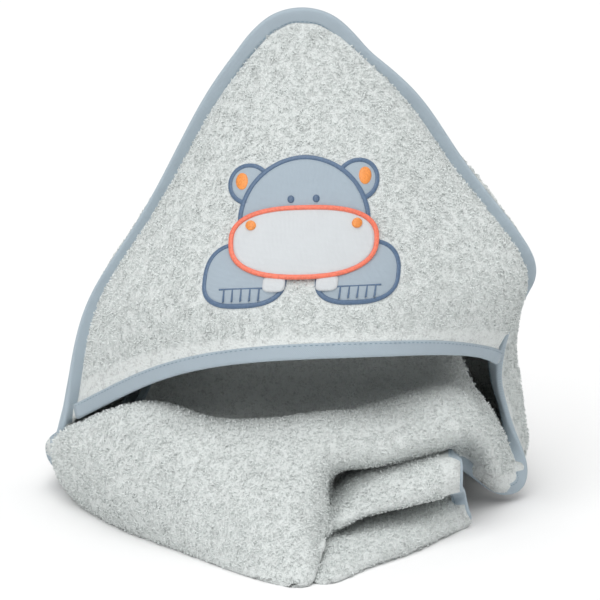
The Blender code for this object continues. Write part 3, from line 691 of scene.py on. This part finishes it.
def ease(grid, place, target):
    """Moves a seam point to its target and brings the columns beside it part of the way."""
    row, column = place
    away = target - grid[place]
    middle = grid.shape[1] // 2
    step = 1 if column < middle else -1
    if row <= 1 or row >= len(grid) - 2:
        grid[place] = target
        down = 1 if row <= 1 else -1
        if 1 < column < grid.shape[1] - 2:
            for k in range(1, SEAM_BLEND):
                share = (1 - k / SEAM_BLEND) ** 2
                grid[row + k * down, column] += share * away
        return
    for k in range(SEAM_BLEND):
        share = (1 - k / SEAM_BLEND) ** 2
        grid[row, column + k * step] += share * away


def make_grids():
    """The towel's and the hood panel's grids, the panel's net, and the row of the hood's hem."""
    towel_net = fold_net(TOWEL_FOLDS)
    panel_net = fold_net(PANEL_FOLDS)
    hem = len(panel_net) - 1
    hood = np.concatenate(([0], np.linspace(1, hem, (hem - 1) * ROWS_PER_FOLD + 1)))
    last = len(towel_net) - 1
    below = np.linspace(hem, last - 1, (last - 1 - hem) * ROWS_PER_FOLD + 1)[1:]
    towel = sheet_grid(towel_net, np.concatenate((hood, below, [last])))
    panel = sheet_grid(panel_net, hood)
    return towel, panel, panel_net, len(hood) - 1


def tape_profile(reach):
    """Half of the tape's outside, from its rim to its fold: distances in and out."""
    turn = np.linspace(0, math.pi / 2, 5)
    fold_in = TAPE_ROUND * (1 - np.sin(turn))
    inner = [(reach, 0.80), (reach * 0.985, 0.97), (reach * 0.7, 1.03), (reach * 0.35, 1.02)]
    fold = [(fold_in[k], np.cos(turn[k])) for k in range(5)]
    return inner + fold


def tape_band(name, edge, inward, across, half, closed):
    """A tape folded over an edge, thick enough to hold the cloth inside it."""
    side = tape_profile(TAPE_WIDTH)
    profile = side + [(place, -out) for place, out in side[-2::-1]]
    run = np.concatenate(([0], np.cumsum(np.linalg.norm(np.diff(edge, axis=0), axis=1))))
    wobble = 1 + 0.05 * np.sin(run[:, None] * 260) + 0.03 * np.sin(run[:, None] * 97 + 1)
    points = np.stack([edge + place * inward + out * half * wobble * across
                       for place, out in profile], axis=1)
    ob = grid_object(name, points + AWAY, closed, True)
    width = np.array([place if out >= 0 else -place for place, out in profile])
    give_uv(ob, np.stack(np.broadcast_arrays(run[:, None], width[None, :]), axis=-1))
    outward(ob)
    return ob


def make_stitches(name, edge, inward, across, half, material, slot):
    """Running stitches along both faces of a tape, just inside its rim."""
    run = np.concatenate(([0], np.cumsum(np.linalg.norm(np.diff(edge, axis=0), axis=1))))
    places = np.arange(STITCH_PITCH, run[-1] - STITCH_PITCH, STITCH_PITCH)
    carry = [np.stack([np.interp(places, run, values[:, k]) for k in range(3)], axis=1)
             for values in (edge, inward, across)]
    tall = np.interp(places, run, half[:, 0])
    ahead = unit(np.gradient(carry[0], axis=0))
    bpy.ops.object.select_all(action="DESELECT")
    bpy.ops.mesh.primitive_uv_sphere_add(segments=6, ring_count=5, radius=1.0)
    bead = bpy.context.object
    shape = np.array([vertex.co for vertex in bead.data.vertices])
    faces = [list(face.vertices) for face in bead.data.polygons]
    faces = np.array([face if len(face) == 4 else face + face[-1:] for face in faces])
    bpy.data.objects.remove(bead, do_unlink=True)
    points = []
    for way in (1, -1):
        middle = carry[0] + (TAPE_WIDTH - STITCH_INSET) * carry[1] + way * tall[:, None] * carry[2]
        cloud = (middle[:, None] + shape[None, :, 0:1] * STITCH_LONG / 2 * ahead[:, None]
                 + shape[None, :, 1:2] * STITCH_HALF_WIDE * carry[1][:, None]
                 + shape[None, :, 2:3] * STITCH_HALF_TALL * carry[2][:, None])
        points.append(cloud.reshape(-1, 3))
    points = np.concatenate(points)
    count = len(points) // len(shape)
    offsets = np.arange(count)[:, None, None] * len(shape)
    all_faces = (faces[None] + offsets).reshape(-1, 4)
    ob = polygon_object(name, points + AWAY, all_faces)
    settle(ob, material, slot)


def polygon_object(name, points, faces):
    """A mesh from quads, where a quad that repeats its last corner is a triangle."""
    mesh = bpy.data.meshes.new(name)
    lists = [tuple(face[:3]) if face[2] == face[3] else tuple(face) for face in faces.tolist()]
    mesh.from_pydata(points.tolist(), [], lists)
    mesh.polygons.foreach_set("use_smooth", np.full(len(lists), True))
    mesh.update()
    ob = bpy.data.objects.new(name, mesh)
    bpy.context.scene.collection.objects.link(ob)
    return ob


def make_sheets(looks):
    towel, panel, panel_net, hem_row = make_grids()
    heart_row = int(1 + TURN_ROWS * ROWS_PER_FOLD)
    hem_edge = panel[hem_row].copy()
    hem_before = panel[hem_row - 4].copy()
    edge, inward, across, half = even_path(*seam_lines(towel, panel, hem_row, heart_row))
    band = tape_band("bias_edge", edge, inward, across, half, True)
    settle(band, looks["tape"], "tape", ("edge_binding",))
    make_stitches("bias_edge_stitches", edge, inward, across, half, looks["stitch"], "tape")

    towel[:] = ruffle(towel, 3, RUFFLE_TALL)
    line = hem_edge[HEM_SHORT:-HEM_SHORT]
    way = unit(square_to(hem_before[HEM_SHORT:-HEM_SHORT] - line, unit(np.gradient(line, axis=0))))
    over = unit(np.cross(np.gradient(line, axis=0), way))
    thick = np.full((len(line), 1), TERRY / 2 + TAPE)
    line = line - HEM_OVER * way
    hem = tape_band("bias_hem", line, way, over, thick, False)
    close_ends(hem)
    settle(hem, looks["tape"], "tape", ("hood_hem_binding",))
    make_stitches("bias_hem_stitches", line, way, over, thick, looks["stitch"], "tape")

    for name, points, node in (("towel_sheet", towel, "towel_body"),
                               ("hood_sheet", panel, "hood_panel")):
        sheet = grid_object(name, points + AWAY)
        thicken(sheet, TERRY, 0.0)
        settle(sheet, looks["terry"], "terry", (node,))
    return towel, panel, panel_net


def close_ends(ob):
    """Closes a band's open ends and turns its faces outward."""
    mesh = bmesh.new()
    mesh.from_mesh(ob.data)
    open_ends = [joint for joint in mesh.edges if joint.is_boundary]
    bmesh.ops.holes_fill(mesh, edges=open_ends, sides=0)
    bmesh.ops.recalc_face_normals(mesh, faces=mesh.faces[:])
    mesh.to_mesh(ob.data)
    mesh.free()


# ---------------------------------------------------------------- the terry loops

def loop_shape():
    """One loop of pile: a narrow strip bent into an arch."""
    bpy.ops.object.select_all(action="DESELECT")
    bpy.ops.mesh.primitive_grid_add(x_subdivisions=4, y_subdivisions=1, size=2.0)
    strip = bpy.context.object
    points = np.array([vertex.co for vertex in strip.data.vertices])
    faces = np.array([list(face.vertices) for face in strip.data.polygons])
    bpy.data.objects.remove(strip, do_unlink=True)
    angle = points[:, 0] * math.radians(110)
    arch = np.stack((np.sin(angle), points[:, 1], 0.35 + np.cos(angle)), axis=1)
    return arch, faces


def sow(grid, normals, spacing, random):
    """Random places on a grid of points, about one to each square of the spacing."""
    corners = (grid[:-1, :-1], grid[1:, :-1], grid[:-1, 1:])
    area = np.linalg.norm(np.cross(corners[1] - corners[0], corners[2] - corners[0]), axis=-1)
    share = (area / area.sum()).ravel()
    count = int(area.sum() / spacing ** 2)
    cells = random.choice(len(share), size=count, p=share)
    i, j = np.divmod(cells, grid.shape[1] - 1)
    u, v = random.random((2, count, 1))
    place = (grid[i, j] * (1 - u) * (1 - v) + grid[i + 1, j] * u * (1 - v)
             + grid[i, j + 1] * (1 - u) * v + grid[i + 1, j + 1] * u * v)
    return place, unit(normals[i, j] * (1 - u) + normals[i + 1, j] * u)


def room_round(pieces):
    """A test that keeps only the places clear of what is sewn on."""
    corners = [vertex.co for ob in pieces for vertex in ob.data.vertices]
    tree = KDTree(len(corners))
    for k, corner in enumerate(corners):
        tree.insert(corner, k)
    tree.balance()

    def keep(place, normal):
        near = [tree.find(spot)[2] for spot in (place + AWAY + 0.002 * normal).tolist()]
        return np.array(near) > LOOP_ROOM

    return keep


def make_pile(name, grid, side, spacing, keep, materials, random):
    """Terry loops over one face of a sheet; keep picks the places that get one."""
    normals = normals_of(grid) * side
    place, normal = sow(grid, normals, spacing, random)
    kept = keep(place, normal)
    place = place[kept]
    normal = normal[kept]
    arch, faces = loop_shape()
    lean = unit(normal + random.normal(0, LOOP_LEAN, place.shape))
    along = unit(np.cross(lean, random.normal(0, 1, place.shape)))
    wide = np.cross(lean, along)
    size = random.uniform(0.75, 1.25, (len(place), 1, 1))
    base = place + (TERRY / 2 - 0.0002) * normal
    cloud = base[:, None] + size * (arch[None, :, 0:1] * LOOP_WIDE * along[:, None]
                                    + arch[None, :, 1:2] * LOOP_THICK * wide[:, None]
                                    + arch[None, :, 2:3] * LOOP_TALL * lean[:, None])
    cloud[..., 2] = np.maximum(cloud[..., 2], TERRY * 0.1 - AWAY[2])
    for k, start in enumerate(range(0, len(cloud), LOOPS_PER_PIECE)):
        part = cloud[start:start + LOOPS_PER_PIECE]
        offsets = np.arange(len(part))[:, None, None] * len(arch)
        all_faces = (faces[None] + offsets).reshape(-1, faces.shape[1])
        ob = mesh_object(f"{name}_{k}", part.reshape(-1, 3) + AWAY, all_faces)
        settle(ob, materials[0], "terry")
        for extra in materials[1:]:
            ob.data.materials.append(extra)
        tone = random.integers(0, len(materials), len(part)).astype(np.int32)
        ob.data.polygons.foreach_set("material_index", np.repeat(tone, len(faces)))


# ---------------------------------------------------------------- the motif

class Panel:
    """The hood panel's surface, addressed by distances along the cloth."""

    def __init__(self, net):
        self.net = net
        self.alongs = np.linspace(0, len(net) - 1, 120)
        self.acrosses = np.linspace(0, net.shape[1] - 1, 160)
        grid = np.array([on_net(net, np.full(self.acrosses.shape, along), self.acrosses)
                         for along in self.alongs])
        middle = len(self.acrosses) // 2
        down = np.linalg.norm(np.diff(grid[:, middle], axis=0), axis=1)
        self.down = np.concatenate(([0], np.cumsum(down)))
        side = np.cumsum(np.linalg.norm(np.diff(grid, axis=1), axis=2), axis=1)
        side = np.concatenate((np.zeros((len(grid), 1)), side), axis=1)
        self.side = side - side[:, middle:middle + 1]

    def lay(self, flat, lift):
        """Carries flat points (..., 2) onto the panel, lifted off its front face."""
        x = flat[..., 0].ravel()
        y = flat[..., 1].ravel()
        row = np.interp(MOTIF_DOWN - y, self.down, np.arange(len(self.down)))
        low = np.minimum(row.astype(int), len(self.down) - 2)
        share = (row - low)[:, None]
        side = (1 - share) * self.side[low] + share * self.side[low + 1]
        across = np.array([np.interp(place, line, self.acrosses) for place, line in zip(x, side)])
        along = np.interp(row, np.arange(len(self.alongs)), self.alongs)
        step = 0.02
        here = on_net(self.net, along, across)
        over = on_net(self.net, along, across + step) - on_net(self.net, along, across - step)
        down = on_net(self.net, along + step, across) - on_net(self.net, along - step, across)
        normal = -unit(np.cross(over, down))
        lift = np.broadcast_to(np.asarray(lift, dtype=float), flat.shape[:-1]).ravel()
        return (here + (TERRY / 2 + lift)[:, None] * normal).reshape(*flat.shape[:-1], 3)


def oval(shape, turns, grow=0.0):
    """Points of a squared oval, grown outward by a distance."""
    x, y, half_width, up, down, square = (value * MOTIF_WIDTH for value in shape)
    square = shape[5]
    cosine = np.cos(turns)
    sine = np.sin(turns)
    tall = np.where(sine >= 0, up, down) + grow
    px = x + (half_width + grow) * np.sign(cosine) * np.abs(cosine) ** (2 / square)
    py = y + tall * np.sign(sine) * np.abs(sine) ** (2 / square)
    return np.stack((px, py), axis=-1)


def mirrored(shape, side):
    return (shape[0] * side,) + shape[1:]


def make_patch(name, shape, level, puff, material, slot, panel, nodes, rings=14, count=96):
    """A fabric patch, slightly padded, its edge tucked under the satin stitch round it."""
    turns = np.linspace(0, 2 * math.pi, count, endpoint=False)
    rim = oval(shape, turns, STITCH_WIDTH * 0.4)
    heart = np.array((shape[0], shape[1] + (shape[3] - shape[4]) / 2)) * MOTIF_WIDTH
    reach = np.linspace(0.02, 1, rings)[:, None, None]
    flat = heart + (rim - heart)[None] * reach
    crown = puff * (1 - reach[..., 0] ** 2.4) * np.ones((1, count))
    top = panel.lay(flat, level + crown)
    foot = panel.lay(flat[-1:], 0.0)
    ob = grid_object(name, np.concatenate((top, foot)) + AWAY, False, True)
    give_uv(ob, np.concatenate((flat, flat[-1:])))
    close_ends(ob)
    settle(ob, material, slot, nodes)


def satin(name, path, closed, width, level, material, slot, panel, nodes, tall=SATIN_TALL):
    """Satin stitch along a flat path: close parallel threads laid across it over a low ridge."""
    loop = np.concatenate((path, path[:1])) if closed else path
    run = np.concatenate(([0], np.cumsum(np.linalg.norm(np.diff(loop, axis=0), axis=1))))
    count = int(run[-1] / (THREAD_PITCH / 2)) // 2 * 2
    places = np.linspace(0, run[-1], count, endpoint=not closed)
    line = np.stack([np.interp(places, run, loop[:, k]) for k in range(2)], axis=1)
    if closed:
        ahead = np.roll(line, -3, axis=0) - np.roll(line, 3, axis=0)
    else:
        ahead = np.gradient(line, axis=0)
    ahead = ahead / np.linalg.norm(ahead, axis=1, keepdims=True)
    beside = np.stack((ahead[:, 1], -ahead[:, 0]), axis=1)
    slots = np.linspace(-1, 1, 9)
    ragged = 1 + THREAD_RAGGED * np.sin(np.arange(count) * 2.3) * np.sin(np.arange(count) * 0.7)
    reach = slots[None, :] * (width / 2) * np.where(np.abs(slots) > 0.9, ragged[:, None], 1.0)
    slant = THREAD_SLANT * slots[None, :, None] * ahead[:, None]
    flat = line[:, None] + reach[..., None] * beside[:, None] + slant
    ridge = tall * np.sqrt(np.maximum(1 - slots ** 2, 0))[None, :]
    thread = THREAD_RAISED * (np.arange(count) % 2)[:, None] * (np.abs(slots) < 0.95)[None, :]
    points = panel.lay(flat, level + ridge + thread - 0.0001)
    under = panel.lay(flat[:, [-1, 0]], max(level - 0.0009, -0.0008))
    ob = grid_object(name, np.concatenate((points, under), axis=1) + AWAY, closed, True)
    if not closed:
        close_ends(ob)
    outward(ob)
    settle(ob, material, slot, nodes)


def make_motif(net, looks):
    panel = Panel(net)
    turns = np.linspace(0, 2 * math.pi, 240, endpoint=False)
    blue, coral, orange = looks["blue"], looks["coral"], looks["orange"]

    def outline(name, shape, level, material, slot, nodes):
        path = oval(shape, turns, STITCH_WIDTH / 2)
        satin(name, path, True, STITCH_WIDTH, level, material, slot, panel, nodes)

    for side, word in ((-1, "left"), (1, "right")):
        foot = mirrored(FOOT, side)
        make_patch(f"{word}_foot", foot, LOW_LEVEL, FOOT_PUFF, looks["grey"], "patch_grey", panel,
                   (f"{word}_foot_patch",))
        outline(f"{word}_foot_satin", foot, LOW_LEVEL, blue, "thread_blue",
                (f"{word}_foot_outline",))
        make_toes(word, side, blue, panel)
        ear = mirrored(EAR, side)
        make_patch(f"{word}_ear", ear, LOW_LEVEL, EAR_PUFF, looks["grey"], "patch_grey", panel,
                   (f"{word}_ear_patch",), 8, 48)
        outline(f"{word}_ear_satin", ear, LOW_LEVEL, blue, "thread_blue",
                (f"{word}_ear_outline",))
        fill_satin(f"{word}_ear_inner", mirrored(EAR_FILL, side), HEAD_LEVEL, orange,
                   "thread_orange", panel, (f"{word}_ear_fill",))
        fill_satin(f"{word}_eye_satin", mirrored(EYE, side), EYE_LEVEL, blue, "thread_blue",
                   panel, (f"{word}_eye",))
        fill_satin(f"{word}_nostril_satin", mirrored(NOSTRIL, side), NOSTRIL_LEVEL, orange,
                   "thread_orange", panel, (f"{word}_nostril",))
        make_patch(f"{word}_tooth_patch", mirrored(TOOTH, side), TOOTH_LEVEL, TOOTH_PUFF,
                   looks["white"], "patch_white", panel, (f"{word}_tooth",), 6, 40)
    make_patch("head", HEAD, HEAD_LEVEL, HEAD_PUFF, looks["grey"], "patch_grey", panel,
               ("head_patch",))
    outline("head_satin", HEAD, HEAD_LEVEL, blue, "thread_blue", ("head_outline",))
    make_patch("muzzle", MUZZLE, MUZZLE_LEVEL, MUZZLE_PUFF, looks["white"], "patch_white",
               panel, ("muzzle_patch",))
    outline("muzzle_satin", MUZZLE, MUZZLE_EDGE_LEVEL, coral, "thread_coral",
            ("muzzle_outline",))


def fill_satin(name, shape, level, material, slot, panel, nodes):
    """An oval filled with parallel threads, as one short wide satin stitch."""
    x, y, half_width, up, down, square = shape
    steps = 41
    tall = np.linspace(-0.98, 0.98, steps)
    rows = []
    for t in tall:
        reach = (1 - abs(t) ** square) ** (1 / square) * half_width
        rows.append((t, reach))
    slots = np.linspace(-1, 1, 9)
    flat = np.array([[((x + reach * s) * MOTIF_WIDTH, (y + t * (up if t > 0 else down)) * MOTIF_WIDTH)
                      for s in slots] for t, reach in rows])
    dome = np.sqrt(np.maximum(1 - slots ** 2, 0))[None, :] * np.sqrt(1 - tall ** 2)[:, None] * FILL_TALL
    thread = THREAD_RAISED * (np.arange(steps) % 2)[:, None] * (np.abs(slots) < 0.95)[None, :]
    points = panel.lay(flat, level + dome + thread)
    under = panel.lay(flat[:, [-1, 0]], level - 0.0012)
    ob = grid_object(name, np.concatenate((points, under), axis=1) + AWAY, False, True)
    close_ends(ob)
    settle(ob, material, slot, nodes)


def make_toes(word, side, material, panel):
    """The grid of stitched lines along the bottom of a foot."""
    middle = side * FOOT[0] * MOTIF_WIDTH
    low = (FOOT[1] - 0.86 * FOOT[4]) * MOTIF_WIDTH
    across = np.arange(TOE_LINES) - (TOE_LINES - 1) / 2
    uprights = [middle + k * TOE_PITCH for k in across]
    lines = [np.array(((x, low - 0.001), (x, low + TOE_TALL))) for x in uprights]
    reach = (TOE_LINES / 2 + 0.1) * TOE_PITCH
    lines.append(np.array(((middle - reach, low + TOE_TALL), (middle + reach, low + TOE_TALL))))
    for k, line in enumerate(lines):
        steps = np.linspace(0, 1, 24)[:, None]
        path = line[0] * (1 - steps) + line[1] * steps
        nodes = (f"{word}_foot_grid",) if k == 0 else ()
        satin(f"{word}_toe_line_{k}", path, False, TOE_WIDE, TOE_LEVEL, material,
              "thread_blue", panel, nodes, TOE_RIDGE)


# ---------------------------------------------------------------- the studio

def make_studio():
    scene = bpy.context.scene
    bpy.ops.object.select_all(action="DESELECT")
    bpy.ops.mesh.primitive_plane_add(size=60.0)
    floor = bpy.context.object
    floor.name = "floor"
    paper = Shader("paper", (0.93, 0.93, 0.93), 0.9)
    floor.data.materials.append(paper.material)
    world = bpy.data.worlds.new("studio")
    scene.world = world
    world.use_nodes = True
    backdrop = world.node_tree.nodes["Background"]
    backdrop.inputs["Color"].default_value = (1.0, 1.0, 1.0, 1)
    backdrop.inputs["Strength"].default_value = WORLD_LIGHT
    for name, place, strength, wide in SUNS:
        sun = bpy.data.lights.new(name, "SUN")
        sun.energy = strength
        sun.angle = math.radians(wide)
        holder = bpy.data.objects.new(name, sun)
        scene.collection.objects.link(holder)
        holder.location = place
        holder.rotation_euler = (-Vector(place)).to_track_quat("-Z", "Y").to_euler()
    scene.view_settings.view_transform = "Standard"
    camera = bpy.data.cameras.new("camera")
    camera.lens = CAMERA_LENS
    camera.sensor_width = 36.0
    holder = bpy.data.objects.new("camera", camera)
    scene.collection.objects.link(holder)
    aim = Vector(CAMERA_AIM) + Vector(AWAY)
    rise = math.radians(CAMERA_RISE)
    holder.location = aim + CAMERA_AWAY * Vector((0, -math.cos(rise), math.sin(rise)))
    holder.rotation_euler = (aim - holder.location).to_track_quat("-Z", "Y").to_euler()
    scene.camera = holder


def main():
    random = np.random.default_rng(7)
    make_studio()
    looks = {
        "terry": terry_material(),
        "tape": tape_material(),
        "stitch": thread_material("tape_stitch", STITCH_COLOR),
        "grey": cotton_material("patch_grey", GREY_COLOR),
        "white": cotton_material("patch_white", WHITE_COLOR),
        "blue": thread_material("thread_blue", BLUE_COLOR),
        "coral": thread_material("thread_coral", CORAL_COLOR),
        "orange": thread_material("thread_orange", ORANGE_COLOR),
    }
    pile = [pile_material(f"terry_pile_{k}", factor) for k, factor in enumerate(PILE_TONES)]
    towel, panel, panel_net = make_sheets(looks)
    make_motif(panel_net, looks)
    clear_of_motif = room_round([ob for ob in bpy.data.objects if ob.get("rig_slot") in MOTIF_SLOTS])

    def anywhere(place, normal):
        return np.full(len(place), True)

    rows = towel[2:-2, 3:-3]
    back_end = int(ROWS_PER_FOLD * BACK_END)
    make_pile("hood_pile", panel[2:-4, 3:-3], 1, LOOP_SPACING, clear_of_motif, pile, random)
    make_pile("towel_pile_out", rows[:back_end], -1, LOOP_SPACING, anywhere, pile, random)
    seen_from = int(ROWS_PER_FOLD * SEEN_FROM)
    seen_to = int(ROWS_PER_FOLD * SEEN_TO)
    make_pile("towel_pile_in", rows[seen_from:seen_to], 1, LOOP_SPACING, anywhere, pile, random)
    make_pile("towel_pile_under", rows[int(ROWS_PER_FOLD * UNDER_FROM):seen_to], -1,
              LOOP_SPACING * UNDER_SPACING, anywhere, pile, random)


main()
